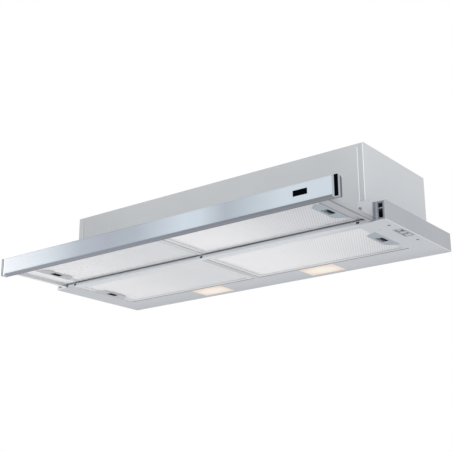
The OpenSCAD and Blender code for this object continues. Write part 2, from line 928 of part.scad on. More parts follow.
// Pressed steel box over the lamp opening, with feet on the base sheet
module lamp_housing() {
    x = [lamp_x - lamp_w / 2 - lamp_box_side, lamp_x + lamp_w / 2 + lamp_box_side];
    y = [lamp_front - lamp_gap - lamp_front_wall_gap, lamp_front + lamp_d + lamp_box_side];
    top = sheet_t + lamp_box_h;
    color(zinc) {
        difference() {
            span([x[0] - sheet_t, x[1] + sheet_t], [y[0] - sheet_t, y[1] + sheet_t], [sheet_t, top]);
            span(x, y, [sheet_t - over, top - sheet_t]);
        }
        for (s = [-1, 1]) {
            edge = s < 0 ? [x[0] - sheet_t - lamp_box_foot, x[0] - sheet_t]
                : [x[1] + sheet_t, x[1] + sheet_t + lamp_box_foot];
            span(edge, [y[0], y[1]], [sheet_t, 2 * sheet_t]);
        }
        // Lamp holder on the end wall
        difference() {
            translate([x[1] - socket_l, (y[0] + y[1]) / 2, bulb_z]) rotate([0, 90, 0])
                cylinder(r = socket_r, h = socket_l);
            translate([x[1] - socket_l - over, (y[0] + y[1]) / 2, bulb_z]) rotate([0, 90, 0])
                cylinder(r = bulb_neck_r + seat_gap, h = socket_bore_depth + over);
        }
    }
}

// Glass bulb lying in the lamp box, with its neck in the holder
module bulb() {
    y = lamp_front + (lamp_d + lamp_box_side - lamp_gap - lamp_front_wall_gap) / 2;
    x = lamp_x + lamp_w / 2 + lamp_box_side - socket_l + socket_bore_depth - seat_gap;
    body = bulb_l - bulb_r - socket_bore_depth;
    color(warm_glass) translate([x, y, bulb_z]) rotate([0, -90, 0]) rotate_extrude() intersection() {
        union() {
            flat([0, bulb_neck_r], [0, socket_bore_depth + bulb_r]);
            flat([0, bulb_r], [socket_bore_depth + bulb_neck_r / 2, body]);
            translate([0, body]) circle(r = bulb_r);
        }
        flat([0, bulb_r], [0, bulb_l]);
    }
}

module bulbs() {
    both_sides() bulb();
}

// Moulded cover with a rim inside and two hooks at its rear edge
module lamp_cover() {
    x = [lamp_x - lamp_w / 2, lamp_x + lamp_w / 2];
    y = [lamp_front, lamp_front + lamp_d];
    color(warm_glass) {
        span(x, y, [0, cover_t]);
        difference() {
            span([x[0] + cover_rim_inset, x[1] - cover_rim_inset],
                [y[0] + cover_rim_inset, y[1] - cover_rim_inset], [cover_t, cover_t + cover_rim_h]);
            span([x[0] + cover_rim_inset + cover_rim_t, x[1] - cover_rim_inset - cover_rim_t],
                [y[0] + cover_rim_inset + cover_rim_t, y[1] - cover_rim_inset - cover_rim_t],
                [cover_t, cover_t + cover_rim_h + over]);
        }
        for (place = [x[0] + hook_inset, x[1] - hook_inset - hook_w])
            span([place, place + hook_w], [y[1] - hook_reach, y[1] + hook_reach],
                [sheet_t + hook_lift, sheet_t + hook_lift + hook_t]);
    }
}

// Controls

module control_bezel() {
    w = control_w + 2 * bezel_rim;
    l = control_l + 2 * bezel_rim;
    color(side_paint) translate([control_x, control_y, 0]) difference() {
        union() {
            translate([-w / 2, -l / 2, 0]) cube([w, l, bezel_depth]);
            translate([-w / 2, -l / 2 - bezel_flange, sheet_t]) cube([w, l + 2 * bezel_flange, bezel_floor]);
        }
        translate([-control_w / 2, -control_l / 2, -over])
            cube([control_w, control_l, bezel_depth - bezel_floor + over]);
        translate([0, -control_y, 0]) {
            knob_slot(light_y, light_travel, bezel_depth + over);
            knob_slot(speed_y, speed_travel, bezel_depth + over);
        }
    }
}

// Slot that a knob's stem runs in, forward from its place at rest
module knob_slot(y, run, h) {
    translate([-knob_slot_w / 2, y - run - knob_stem_l / 2 - knob_gap, 0])
        cube([knob_slot_w, run + knob_stem_l + 2 * knob_gap, h]);
}

// Slider knob with finger ridges and a stem through its slot
module knob(y) {
    z = bezel_depth - bezel_floor - knob_gap;
    translate([control_x, y, 0]) {
        translate([-knob_w / 2, -knob_l / 2, z - knob_h + knob_ridge_h])
            cube([knob_w, knob_l, knob_h - knob_ridge_h]);
        for (i = [0 : knob_ridges - 1])
            translate([-knob_w / 2, i * knob_ridge_step - knob_l / 2, z - knob_h])
                cube([knob_w, knob_l - (knob_ridges - 1) * knob_ridge_step, knob_ridge_h]);
        translate([-knob_stem_w / 2, -knob_stem_l / 2, z]) cube([knob_stem_w, knob_stem_l, knob_stem_h]);
    }
}

module light_slider() {
    color(white_plastic) knob(light_y);
}

module speed_slider() {
    color(white_plastic) knob(speed_y);
}

// Box of the switches on the bezel, with a foot at each end for its screw
module switch_box() {
    w = control_w + 2 * bezel_rim;
    l = control_l + 2 * bezel_rim + 2 * bezel_flange;
    color(black_plastic) difference() {
        union() {
            translate([control_x - w / 2, control_y - l / 2, bezel_depth]) cube([w, l, switch_h]);
            for (y = under_screw_ys) {
                near = y < control_y ? control_y - l / 2 : control_y + l / 2;
                far = y < control_y ? y - switch_foot_w / 2 : y + switch_foot_w / 2;
                span([under_screw_x - switch_foot_w / 2, under_screw_x + switch_foot_w / 2],
                    [min(near, far), max(near, far)], [sheet_t, sheet_t + switch_foot_t]);
                span([under_screw_x - switch_foot_w / 2, under_screw_x + switch_foot_w / 2],
                    [min(near, near + sign(far - near) * switch_foot_t),
                        max(near, near + sign(far - near) * switch_foot_t)],
                    [sheet_t, bezel_depth + switch_h / 2]);
            }
        }
        translate([control_x, 0, bezel_depth - over]) {
            knob_slot(light_y, light_travel, over + knob_stem_h);
            knob_slot(speed_y, speed_travel, over + knob_stem_h);
        }
        for (y = under_screw_ys) translate([under_screw_x, y, 0]) cylinder(r = screw_r, h = 2 * switch_h);
    }
}

// Fasteners

module housing_screws() {
    color(zinc) for (s = [-1, 1]) translate([s * plate_screw_x, box_front - sheet_t, plate_screw_z])
        rotate([-90, 0, 0]) pan_screw();
}

module switch_screws() {
    color(zinc) for (y = under_screw_ys) translate([under_screw_x, y, 0]) flush_screw();
}

// Drawer

// Stainless skin, folded back at the top and the bottom
module front_panel() {
    y = panel_front_y + skin_t / 2;
    color(stainless) along_x([-half_w + cap_w, half_w - cap_w])
        folded([[panel_front_y + skin_d, skin_t / 2], [y, skin_t / 2], [y, panel_h - skin_t / 2],
            [panel_front_y + skin_d, panel_h - skin_t / 2]], skin_t, bend_r);
}

// Folded back of the panel, with a sloping upper edge
module panel_back() {
    y = panel_back_y - skin_t / 2;
    front = panel_front_y + skin_d;
    color(dark_plastic) {
        along_x([-half_w + skin_t, half_w - skin_t])
            folded([[front, skin_t / 2], [y, skin_t / 2], [y, panel_h - panel_chamfer],
                [y - panel_chamfer, panel_h - skin_t / 2], [front, panel_h - skin_t / 2]], skin_t, bend_r);
        both_sides() along_x([half_w - skin_t, half_w])
            polygon([[front, 0], [panel_back_y, 0], [panel_back_y, panel_h - panel_chamfer],
                [panel_back_y - panel_chamfer, panel_h], [front, panel_h]]);
    }
}

// End cap of the panel, with a groove for the dark strip round its corner
module end_cap() {
    color(side_paint) difference() {
        span([half_w - cap_w, half_w], [panel_front_y, panel_front_y + skin_d], [0, panel_h]);
        span([half_w - strip_w - strip_groove, half_w + over],
            [panel_front_y - over, panel_front_y + strip_d + strip_groove], [-over, panel_h + over]);
    }
}

// Glossy strips in the grooves of the end caps
module end_strips() {
    color(black_plastic) both_sides()
        span([half_w - strip_w, half_w], [panel_front_y, panel_front_y + strip_d], [0, panel_h]);
}

// Side rail: a lip under the outer web, a ledge inwards and a stand beside the filters
module drawer_rail() {
    web = rail_half - rail_t / 2;
    low = rail_z + rail_t / 2;
    ledge = rail_h - rail_t / 2;
    stand = rail_inner - rail_t / 2;
    color(frame_alu) along_y([panel_back_y, rail_rear]) {
        folded([[rail_half - rail_lip, low], [web, low], [web, ledge], [rail_inner, ledge]], rail_t, bend_r);
        flat([rail_inner - rail_t, rail_inner], [rail_h - rail_t, rail_h + rail_stand]);
    }
}

// Nylon glides in the rear ends of the rails
module glide() {
    low = rail_z + rail_t;
    high = rail_h - rail_t;
    color(white_plastic) {
        span([rail_half - rail_lip, rail_half - rail_t - bend_r],
            [rail_rear - glide_l + glide_nose, rail_rear], [low, high - bend_r]);
        span([rail_half - rail_lip, rail_half + glide_proud], [rail_rear, rail_rear + glide_nose],
            [rail_z - glide_proud, rail_h + glide_proud]);
    }
}

module rail_glides() {
    both_sides() glide();
}

module drawer_rib() {
    color(frame_alu) rib([front_bar_rear, bar_y], drawer_rib_z, drawer_rib_w, drawer_top_z - drawer_rib_z);
}

// Bar across the front of the drawer, between its panel and its filters
module drawer_front_bar() {
    half = rail_inner - rail_t;
    y = front_bar_rear - bar_t / 2;
    color(frame_alu) along_x([-half, half])
        folded([[panel_back_y, bar_z + bar_t / 2], [y, bar_z + bar_t / 2], [y, drawer_top_z]], bar_t, bend_r);
}

// Bar across the rear of the drawer
module drawer_rear_bar() {
    half = rail_inner - rail_t;
    color(black_plastic) along_x([-half, half])
        folded([[bar_y, bar_z + bar_t / 2], [bar_y + bar_d - bar_t / 2, bar_z + bar_t / 2],
            [bar_y + bar_d - bar_t / 2, drawer_top_z]], bar_t, bend_r);
}

// Filters

// Points of a rounded corner b between a and c
function eased(a, b, c, r) = [for (i = [0 : latch_round_steps]) let (t = i / latch_round_steps)
    b + unit(b, a) * r * pow(1 - t, 2) + unit(b, c) * r * pow(t, 2)];

// Outline of the latch plate, wide at the frame's outer wall
function latch_outline(outer, y) =
    let (half = latch_plate_l / 2,
        a = [outer, y + half],
        b = [outer - latch_plate_w, y + half - latch_taper_rear],
        c = [outer - latch_plate_w, y - half + latch_taper_front],
        d = [outer, y - half])
    concat([d, a], eased(a, b, c, latch_round), eased(b, c, d, latch_round / 2));

// Folded frame with a latch plate in its outer end and two tabs at the inner end
module filter_frame(outer, y0, y1, z, latch_y, rear_border) {
    top = z + filter_t;
    window = [outer - window_inset - window_w, outer - window_inset];
    color(frame_alu) {
        difference() {
            span([filter_inner, outer], [y0, y1], [z, top]);
            span([filter_inner + frame_t, outer - frame_t], [y0 + frame_t, y1 - frame_t],
                [z + frame_t, top - frame_t]);
            translate([0, 0, z - over]) linear_extrude(over + 2 * frame_t) difference() {
                flat([filter_inner + border_w, outer - border_w], [y0 + border_w, y1 - rear_border]);
                polygon(latch_outline(outer, latch_y));
            }
            span([filter_inner + top_lip, outer - top_lip], [y0 + top_lip, y1 - top_lip],
                [top - 2 * frame_t, top + over]);
            // Window for the grip and slot for the bolt
            span(window, [latch_y - window_l / 2, latch_y + window_l / 2], [z - over, z + 2 * frame_t]);
            span([outer - 2 * frame_t, outer + over],
                [latch_y - bolt_w / 2 - window_gap, latch_y + bolt_w / 2 + window_gap],
                [z + latch_plate_t, z + latch_plate_t + latch_t + 2 * window_gap]);
        }
        for (y = [y0 + tab_inset, y1 - tab_inset - tab_w])
            span([filter_inner - tab_reach, filter_inner + frame_t], [y, y + tab_w],
                [z + tab_lift, z + tab_lift + tab_t]);
    }
}

// Pleated mesh pad between the lips of the frame
module filter_mesh(outer, y0, y1, z, latch_y) {
    x = [filter_inner + frame_t + mesh_side_gap, outer - frame_t - mesh_side_gap];
    room = y1 - y0 - 2 * frame_t - 2 * mesh_side_gap;
    count = floor(room / pleat_pitch);
    pitch = room / count;
    low = z + frame_t + mesh_room;
    high = z + filter_t - frame_t - mesh_room - mesh_t;
    start = y0 + frame_t + mesh_side_gap;
    line = [for (i = [0 : 2 * count]) [start + i * pitch / 2, i % 2 == 0 ? low : high]];
    back = [for (i = [2 * count : -1 : 0]) line[i] + [0, mesh_t]];
    color(mesh_alu) difference() {
        along_x(x) polygon(concat(line, back));
        // Room for the latch and its travel
        span([outer - window_inset - latch_w - latch_travel - mesh_side_gap, outer],
            [latch_y - latch_l / 2 - mesh_side_gap, latch_y + latch_l / 2 + mesh_side_gap],
            [z - over, z + filter_t]);
    }
}

// Spring latch: a plate behind the window, a grip in it and a bolt towards the outside
module filter_latch(outer, z, y) {
    low = z + latch_plate_t + window_gap;
    grip_outer = outer - window_inset - window_gap;
    color(blue_grey) {
        span([outer - window_inset - latch_w, outer - frame_t - latch_travel],
            [y - latch_l / 2, y + latch_l / 2], [low, low + latch_t]);
        span([outer - frame_t - latch_travel - over, outer - bolt_setback],
            [y - bolt_w / 2, y + bolt_w / 2], [low, low + latch_t]);
        difference() {
            span([grip_outer - grip_w, grip_outer],
                [y - window_l / 2 + window_gap, y + window_l / 2 - window_gap], [z, low + latch_t / 2]);
            span([grip_outer - grip_w + grip_rim, grip_outer - grip_rim],
                [y - window_l / 2 + window_gap + grip_rim, y + window_l / 2 - window_gap - grip_rim],
                [z - over, z + grip_depth]);
        }
    }
}

module rear_frame() {
    filter_frame(rear_filter_outer, rear_filter_front, rear_filter_rear, rear_filter_z, rear_latch_y,
        border_w);
}

module front_frame() {
    filter_frame(front_filter_outer, front_filter_front, front_filter_rear, front_filter_z, front_latch_y,
        narrow_border_w);
}

module rear_mesh() {
    filter_mesh(rear_filter_outer, rear_filter_front, rear_filter_rear, rear_filter_z, rear_latch_y);
}

module front_mesh() {
    filter_mesh(front_filter_outer, front_filter_front, front_filter_rear, front_filter_z, front_latch_y);
}

module rear_latch() {
    filter_latch(rear_filter_outer, rear_filter_z, rear_latch_y);
}

module front_latch() {
    filter_latch(front_filter_outer, front_filter_z, front_latch_y);
}

housing_shell();
left() housing_side();  // housing_side_left
housing_side();  // housing_side_right
base_tray();
front_crossbar();
centre_rib();
left() corner_plate();  // corner_plate_left
corner_plate();  // corner_plate_right
left() rail_guide();  // rail_guide_left
rail_guide();  // rail_guide_right
left() slide_channel();  // slide_channel_left
slide_channel();  // slide_channel_right
left() scroll_half_shell();  // scroll_left
scroll_half_shell();  // scroll_right
motor_body();
motor_bracket();
capacitor();
terminal_box();
cable_gland();
duct_collar();
control_bezel();
switch_box();
left() lamp_housing();  // lamp_housing_left
lamp_housing();  // lamp_housing_right
bulbs();
housing_screws();
switch_screws();
impeller();
motor_shaft();
translate([0, 2 * collar_y, 0]) mirror([0, 1, 0]) damper_flap();  // damper_flap_front
damper_flap();  // damper_flap_rear
light_slider();
speed_slider();
left() lamp_cover();  // lamp_cover_left
lamp_cover();  // lamp_cover_right
front_panel();
panel_back();
left() end_cap();  // end_cap_left
end_cap();  // end_cap_right
end_strips();
left() drawer_rail();  // drawer_rail_left
drawer_rail();  // drawer_rail_right
drawer_rib();
drawer_front_bar();
drawer_rear_bar();
rail_glides();
left() rear_frame();  // rear_frame_left
rear_frame();  // rear_frame_right
left() front_frame();  // front_frame_left
front_frame();  // front_frame_right
left() rear_mesh();  // rear_mesh_left
rear_mesh();  // rear_mesh_right
left() front_mesh();  // front_mesh_left
front_mesh();  // front_mesh_right
left() rear_latch();  // rear_latch_left
rear_latch();  // rear_latch_right
left() front_latch();  // front_latch_left
front_latch();  // front_latch_right
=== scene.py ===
import json
import math
import bmesh
import bpy
from mathutils import Matrix, Quaternion, Vector


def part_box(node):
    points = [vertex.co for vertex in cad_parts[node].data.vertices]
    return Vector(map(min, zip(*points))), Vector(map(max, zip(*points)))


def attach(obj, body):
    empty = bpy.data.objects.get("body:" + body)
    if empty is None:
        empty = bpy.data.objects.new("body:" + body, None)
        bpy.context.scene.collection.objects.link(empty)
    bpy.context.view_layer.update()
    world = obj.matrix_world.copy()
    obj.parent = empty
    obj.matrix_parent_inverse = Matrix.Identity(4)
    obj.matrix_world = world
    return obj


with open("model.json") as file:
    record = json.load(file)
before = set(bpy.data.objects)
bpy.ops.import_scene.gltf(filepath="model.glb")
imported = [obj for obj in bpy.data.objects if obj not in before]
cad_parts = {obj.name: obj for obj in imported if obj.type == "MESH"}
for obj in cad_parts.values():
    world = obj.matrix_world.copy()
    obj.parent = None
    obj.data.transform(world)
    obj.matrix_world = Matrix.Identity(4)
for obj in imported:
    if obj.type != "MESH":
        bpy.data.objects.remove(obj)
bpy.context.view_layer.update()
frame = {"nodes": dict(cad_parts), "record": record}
nodes = frame["nodes"]
mm = 0.001  # lengths in the dictionaries are in mm, unless a note says otherwise
hands = (("left", -1), ("right", 1))
filterSeats = [(row, hand, side) for row in ("rear", "front") for hand, side in hands]
print("frame loaded with", len(nodes), "nodes")


# Camera, set where the photograph was taken from, below the hood on its right
photoCamera = {
    "place": (1262.4, -1838.3, -562.3),
    "turn": 37.55,  # in degrees, as the next two
    "rise": 17.66,
    "roll": -0.27,
    "focal": 962.6,  # in pixels of the photograph
    "frame": 452,
    "sensor": 36,
    "clip": (0.05, 300),  # in metres
}


def placeCamera(look):
    turn, rise, roll = (math.radians(look[key]) for key in ("turn", "rise", "roll"))
    data = bpy.data.cameras.new("photoCamera")
    data.sensor_width = look["sensor"]
    data.lens = look["sensor"] * look["focal"] / look["frame"]
    data.clip_start, data.clip_end = look["clip"]
    ahead = Vector((-math.sin(turn) * math.cos(rise), math.cos(turn) * math.cos(rise),
                    math.sin(rise)))
    camera = bpy.data.objects.new("photoCamera", data)
    camera.rotation_mode = "QUATERNION"
    camera.rotation_quaternion = ahead.to_track_quat("-Z", "Y") @ Quaternion((0, 0, 1), roll)
    camera.location = Vector(look["place"]) * mm
    bpy.context.scene.collection.objects.link(camera)
    bpy.context.scene.camera = camera


placeCamera(photoCamera)
print("camera placed")


# Shader maths: a socket that can be added, multiplied and so on
class Socket:
    def __init__(self, graph, link):
        self.graph, self.link = graph, link

    def maths(self, operation, *values):
        return self.graph.node("ShaderNodeMath", {"operation": operation}, dict(enumerate(values)))

    def __add__(self, other):
        return self.maths("ADD", self, other)

    def __sub__(self, other):
        return self.maths("SUBTRACT", self, other)

    def __mul__(self, other):
        return self.maths("MULTIPLY", self, other)

    def __truediv__(self, other):
        return self.maths("DIVIDE", self, other)

    def __rsub__(self, other):
        return self.maths("SUBTRACT", other, self)

    __radd__, __rmul__ = __add__, __mul__

    def __abs__(self):
        return self.maths("ABSOLUTE", self)

    def __gt__(self, other):
        return self.maths("GREATER_THAN", self, other)

    def __lt__(self, other):
        return self.maths("LESS_THAN", self, other)

    def sine(self):
        return self.maths("SINE", self)

    def most(self, other):
        return self.maths("MAXIMUM", self, other)

    def between(self, low, high):
        return (self > low) * (self < high)

    def step(self, low, high):  # 0 below low, 1 above high, smooth between
        return self.graph.node("ShaderNodeMapRange", {"interpolation_type": "SMOOTHSTEP"},
                               {"Value": self, "From Min": low, "From Max": high})


class Graph:
    def __init__(self, tree):
        self.tree = tree
        tree.nodes.clear()

    def node(self, kind, settings=None, values=None, out=0):
        made = self.tree.nodes.new(kind)
        for key, value in (settings or {}).items():
            if key == "stops":
                self.setStops(made.color_ramp, value)
            else:
                setattr(made, key, value)
        for key, value in (values or {}).items():
            self.feed(made.inputs[key], value)
        return Socket(self, made.outputs[out]) if made.outputs else None

    def feed(self, entry, value):
        if isinstance(value, Socket):
            self.tree.links.new(value.link, entry)
        else:
            entry.default_value = value

    def setStops(self, ramp, stops):
        while len(ramp.elements) < len(stops):
            ramp.elements.new(0.5)
        for element, (place, colour) in zip(ramp.elements, stops):
            element.position, element.color = place, colour

    def coordinates(self):
        return self.node("ShaderNodeTexCoord", out="Object")

    def axes(self, letters):  # the object's own x, y and z, or those that are asked for
        split = self.node("ShaderNodeSeparateXYZ", values={"Vector": self.coordinates()})
        outputs = split.link.node.outputs
        found = [Socket(self, outputs["xyz".index(letter)]) for letter in letters]
        return found if len(found) > 1 else found[0]

    def noise(self, scale, detail=2.0, stretch=(1, 1, 1)):
        place = self.node("ShaderNodeMapping",
                          values={"Vector": self.coordinates(), "Scale": stretch})
        return self.node("ShaderNodeTexNoise",
                         values={"Vector": place, "Scale": scale, "Detail": detail})

    def patches(self, scale):  # one random value for each cell
        colour = self.node("ShaderNodeTexVoronoi",
                           values={"Vector": self.coordinates(), "Scale": scale}, out="Color")
        return self.node("ShaderNodeSeparateXYZ", values={"Vector": colour})

    def blend(self, first, second, share):
        return self.node("ShaderNodeMix", {"data_type": "RGBA"},
                         {0: share, 6: first, 7: second}, out=2)

    def ramp(self, share, stops):
        return self.node("ShaderNodeValToRGB", {"stops": stops}, {"Fac": share})

    def bump(self, height, strength, depth):
        return self.node("ShaderNodeBump", values={"Height": height, "Strength": strength,
                                                   "Distance": depth * mm})


def tint(red, green, blue):  # screen colour from 0 to 255, made linear
    parts = []
    for value in (red, green, blue):
        share = value / 255
        parts.append(share / 12.92 if share <= 0.04045 else ((share + 0.055) / 1.055) ** 2.4)
    return (*parts, 1.0)


def shade(colour, factor):
    return (*(part * factor for part in colour[:3]), 1.0)


def metres(look, *keys):
    return [look[key] * mm for key in keys]


def paintOver(graph, base, colour, share):  # a second colour over a finish, where share is 1
    base["Base Color"] = graph.blend(base["Base Color"], colour, share)
    return base


def newFinish(name, build):
    finish = bpy.data.materials.new(name)
    finish.use_nodes = True
    graph = Graph(finish.node_tree)
    surface = graph.node("ShaderNodeBsdfPrincipled", values=build(graph))
    graph.node("ShaderNodeOutputMaterial", values={"Surface": surface})
    return finish


# Painted sheet: fine orange peel, faint clouds and a little dust
sheetPaint = {"roughness": 0.42, "specular": 0.35, "peelSize": 1500, "peelStrength": 0.05,
              "peelDepth": 0.2, "dustSize": 90, "dustRoughness": 0.1, "cloudSize": 7,
              "cloudColour": (0.9, 0.91, 0.93, 1), "cloudShare": 0.12, "cloudLeast": 0.03}


def paintedSurface(graph, colour):
    paint = sheetPaint
    cloud = graph.noise(paint["cloudSize"], 3)
    peel = graph.noise(paint["peelSize"], 1)
    dust = graph.noise(paint["dustSize"], 4)
    share = (cloud - 0.5) * paint["cloudShare"] + paint["cloudLeast"]
    return {
        "Base Color": graph.blend(colour, paint["cloudColour"], share),
        "Roughness": paint["roughness"] + paint["dustRoughness"] * dust,
        "Normal": graph.bump(peel, paint["peelStrength"], paint["peelDepth"]),
        "Specular IOR Level": paint["specular"],
    }


# Housing, with painted shade that makes it a little darker towards its left end
housingPaint = {"left": tint(177, 180, 183), "right": tint(188, 191, 194), "shadeFadeStart": -400,
                "shadeFadeEnd": -90}


def buildHousingPaint(graph):
    shadeFade = graph.axes("x").step(*metres(housingPaint, "shadeFadeStart", "shadeFadeEnd"))
    return paintedSurface(graph, graph.blend(housingPaint["left"], housingPaint["right"], shadeFade))


# Housing sides: painted shade on the flange that laps the front, between two painted highlights
sidePaint = {"colour": tint(204, 207, 211), "flange": tint(181, 184, 187),
             "line": tint(240, 242, 244), "leftHighlight": tint(199, 202, 205), "flangeEdge": 385.0,
             "lineWidth": 1.3, "lineCore": 0.4, "lineSoft": 0.8, "flangeEnd": 397.4,
             "cornerEnd": 398.9}


def buildSidePaint(graph):
    x = graph.axes("x")
    paint = sidePaint
    edge, width, flangeEnd, cornerEnd = metres(paint, "flangeEdge", "lineWidth", "flangeEnd",
                                               "cornerEnd")
    offLine = abs(abs(x) - (edge + width / 2))
    # painted highlight lines along the flange's fold edges, dimmer on the left
    edgeHighlight = 1 - offLine.step(width * paint["lineCore"], width * paint["lineSoft"])
    lines = edgeHighlight.most(abs(x).between(flangeEnd, cornerEnd))
    # painted shade on the flange, which faces the front
    colour = graph.blend(paint["colour"], paint["flange"], abs(x) < flangeEnd)
    highlightColour = graph.blend(paint["line"], paint["leftHighlight"], x < 0)
    return paintedSurface(graph, graph.blend(colour, highlightColour, lines))


# Base: painted shade on the side walls and towards the rear, a painted highlight along their foot
basePaint = {"colour": tint(185, 188, 194), "rear": tint(176, 180, 185),
             "wall": tint(170, 173, 179), "line": tint(214, 217, 220), "wallStart": 448.4,
             "lineHigh": 1.2, "shadeFadeStart": -62, "shadeFadeEnd": 0}


def buildBasePaint(graph):
    x, y, z = graph.axes("xyz")
    # painted shade on the side walls and near the rear wall, a painted highlight along the walls'
    # foot
    wall = abs(x) > basePaint["wallStart"] * mm
    line = wall * (z < basePaint["lineHigh"] * mm)
    shadeFade = y.step(*metres(basePaint, "shadeFadeStart", "shadeFadeEnd"))
    colour = graph.blend(basePaint["colour"], basePaint["rear"], shadeFade)
    colour = graph.blend(colour, basePaint["wall"], wall)
    return paintedSurface(graph, graph.blend(colour, basePaint["line"], line))


# Corner plates, a little darker than the housing's sides with painted shade
cornerPaint = {"colour": tint(199, 202, 207)}


def buildCornerPaint(graph):
    return paintedSurface(graph, cornerPaint["colour"])


# Crossbar: pale at its foot, with painted shade along the top and a painted shadow of the drawer
# towards the right
barPaint = {"stops": [(0.0, tint(205, 208, 213)), (0.52, tint(203, 206, 211)),
                      (0.74, tint(176, 180, 185)), (0.90, tint(120, 125, 130)),
                      (1.0, tint(84, 89, 93))],
            "high": 9.4, "shadow": (0, 0, 0, 1), "shadowShare": 0.16, "shadowStart": 300,
            "shadowEnd": 385}


def buildBarPaint(graph):
    x, z = graph.axes("xz")
    # painted shade along the top and the drawer's painted shadow towards the right
    paintedBands = graph.ramp(z / (barPaint["high"] * mm), barPaint["stops"])
    share = x.step(*metres(barPaint, "shadowStart", "shadowEnd")) * barPaint["shadowShare"]
    return paintedSurface(graph, graph.blend(paintedBands, barPaint["shadow"], share))


# Panel's grey back and underside, with painted shade towards the right and on the end faces
panelUnder = {"left": tint(125, 129, 141), "right": tint(106, 111, 119),
              "side": tint(83, 84, 92), "sideStart": 448.2, "end": 440, "roughness": 0.45}


def panelGrey(graph, x):
    end = panelUnder["end"] * mm
    return graph.blend(panelUnder["left"], panelUnder["right"], x.step(-end, end))


def buildPanelGrey(graph):
    x = graph.axes("x")
    base = plastic(panelUnder["left"], panelUnder["roughness"])(graph)
    # painted shade: darker towards the right, darker still on the end faces
    base["Base Color"] = panelGrey(graph, x)
    return paintOver(graph, base, panelUnder["side"], abs(x) > panelUnder["sideStart"] * mm)


# Stainless front, brushed along its length, with painted reflections: soft bands of light
frontSteel = {
    "stops": [(0.0, tint(190, 194, 198)), (0.16, tint(173, 179, 185)),
              (0.28, tint(146, 152, 161)), (0.375, tint(141, 147, 156)),
              (0.465, tint(148, 155, 164)), (0.61, tint(184, 193, 202)),
              (0.66, tint(184, 193, 202)), (0.73, tint(160, 168, 177)),
              (0.88, tint(194, 204, 212)), (1.0, tint(197, 207, 215))],
    "left": -438, "right": 438, "underHigh": 3.9, "lowEnd": 14, "lowShade": 0.1,
    "grainSize": 700, "grainStretch": (0.02, 1, 3), "grainColour": (0.35, 0.38, 0.42, 1),
    "grainShare": 0.25, "grainLeast": 0.02, "grainStrength": 0.08, "grainDepth": 0.1,
    "metallic": 0.85, "roughness": 0.3, "grainRoughness": 0.16,
}


def buildFrontSteel(graph):
    x, z = graph.axes("xz")
    steel = frontSteel
    left, right, lowEnd, underHigh = metres(steel, "left", "right", "lowEnd", "underHigh")
    # painted reflection bands along the panel's length
    paintedBands = graph.ramp((x - left) / (right - left), steel["stops"])
    grain = graph.noise(steel["grainSize"], 3, steel["grainStretch"])
    # painted shade darkening the face towards its lower edge
    low = (1 - z.step(0.0, lowEnd)) * steel["lowShade"]
    share = (grain - 0.5) * steel["grainShare"] + steel["grainLeast"] + low
    brushed = graph.blend(paintedBands, steel["grainColour"], share)
    # painted shade: the lowest strip of the face in the panel's dark grey, without metal
    paintedShadeStrip = z < underHigh
    return {
        "Base Color": graph.blend(brushed, panelGrey(graph, x), paintedShadeStrip),
        "Metallic": steel["metallic"] - steel["metallic"] * paintedShadeStrip,
        "Roughness": steel["roughness"] + steel["grainRoughness"] * grain,
        "Normal": graph.bump(grain, steel["grainStrength"], steel["grainDepth"]),
    }


# Satin metal: a fine grain along the sheet and faint clouds
satin = {"grainSize": 900, "grainShare": 0.3, "cloudSize": 12, "cloudShare": 0.2,
         "shareDrop": 0.1, "darker": 0.86, "grainRoughness": 0.12, "grainStrength": 0.04,
         "grainDepth": 0.1}


def satinMetal(colour, metallic, roughness, stretch=(0.05, 1, 1)):
    def build(graph):
        grain = graph.noise(satin["grainSize"], stretch=stretch)
        cloud = graph.noise(satin["cloudSize"])
        share = grain * satin["grainShare"] + cloud * satin["cloudShare"] - satin["shareDrop"]
        return {
            "Base Color": graph.blend(colour, shade(colour, satin["darker"]), share),
            "Metallic": metallic,
            "Roughness": roughness + satin["grainRoughness"] * grain,
            "Normal": graph.bump(grain, satin["grainStrength"], satin["grainDepth"]),
        }
    return build


# Zinc coat with its frosty spangles
zincCoat = {"colour": tint(196, 199, 202), "dark": tint(168, 172, 176), "darkShare": 0.8,
            "spangleSize": 95, "spangleRoughness": 0.2, "metallic": 0.7, "roughness": 0.34,
            "grainSize": 700, "grainStrength": 0.05, "grainDepth": 0.1}


def buildZinc(graph):
    zinc = zincCoat
    spangle = graph.patches(zinc["spangleSize"])
    grain = graph.noise(zinc["grainSize"])
    return {
        "Base Color": graph.blend(zinc["colour"], zinc["dark"], spangle * zinc["darkShare"]),
        "Metallic": zinc["metallic"],
        "Roughness": zinc["roughness"] + zinc["spangleRoughness"] * spangle,
        "Normal": graph.bump(grain, zinc["grainStrength"], zinc["grainDepth"]),
    }


# Moulded plastics, with the fine grain of the tool
moulded = {"cloudSize": 25, "cloudShare": 0.3, "lighter": 1.25, "grainRoughness": 0.12,
           "grainDepth": 0.1}


def plastic(colour, roughness, grain=0.25, size=1800, coat=0.0):
    def build(graph):
        speck = graph.noise(size)
        cloud = graph.noise(moulded["cloudSize"]) * moulded["cloudShare"]
        return {
            "Base Color": graph.blend(colour, shade(colour, moulded["lighter"]), cloud),
            "Roughness": roughness + moulded["grainRoughness"] * speck,
            "Coat Weight": coat,
            "Normal": graph.bump(speck, grain, moulded["grainDepth"]),
        }
    return build


# Silver trim, darker on the right end cap, which turns away from the light
trim = {"colour": tint(205, 208, 214), "rightCap": tint(168, 175, 185), "capRear": -440,
        "metallic": 0.6, "roughness": 0.3, "stretch": (1, 1, 0.05)}


def buildTrim(graph):
    x, y = graph.axes("xy")
    base = satinMetal(trim["colour"], trim["metallic"], trim["roughness"], trim["stretch"])(graph)
    return paintOver(graph, base, trim["rightCap"], (x > 0) * (y < trim["capRear"] * mm))


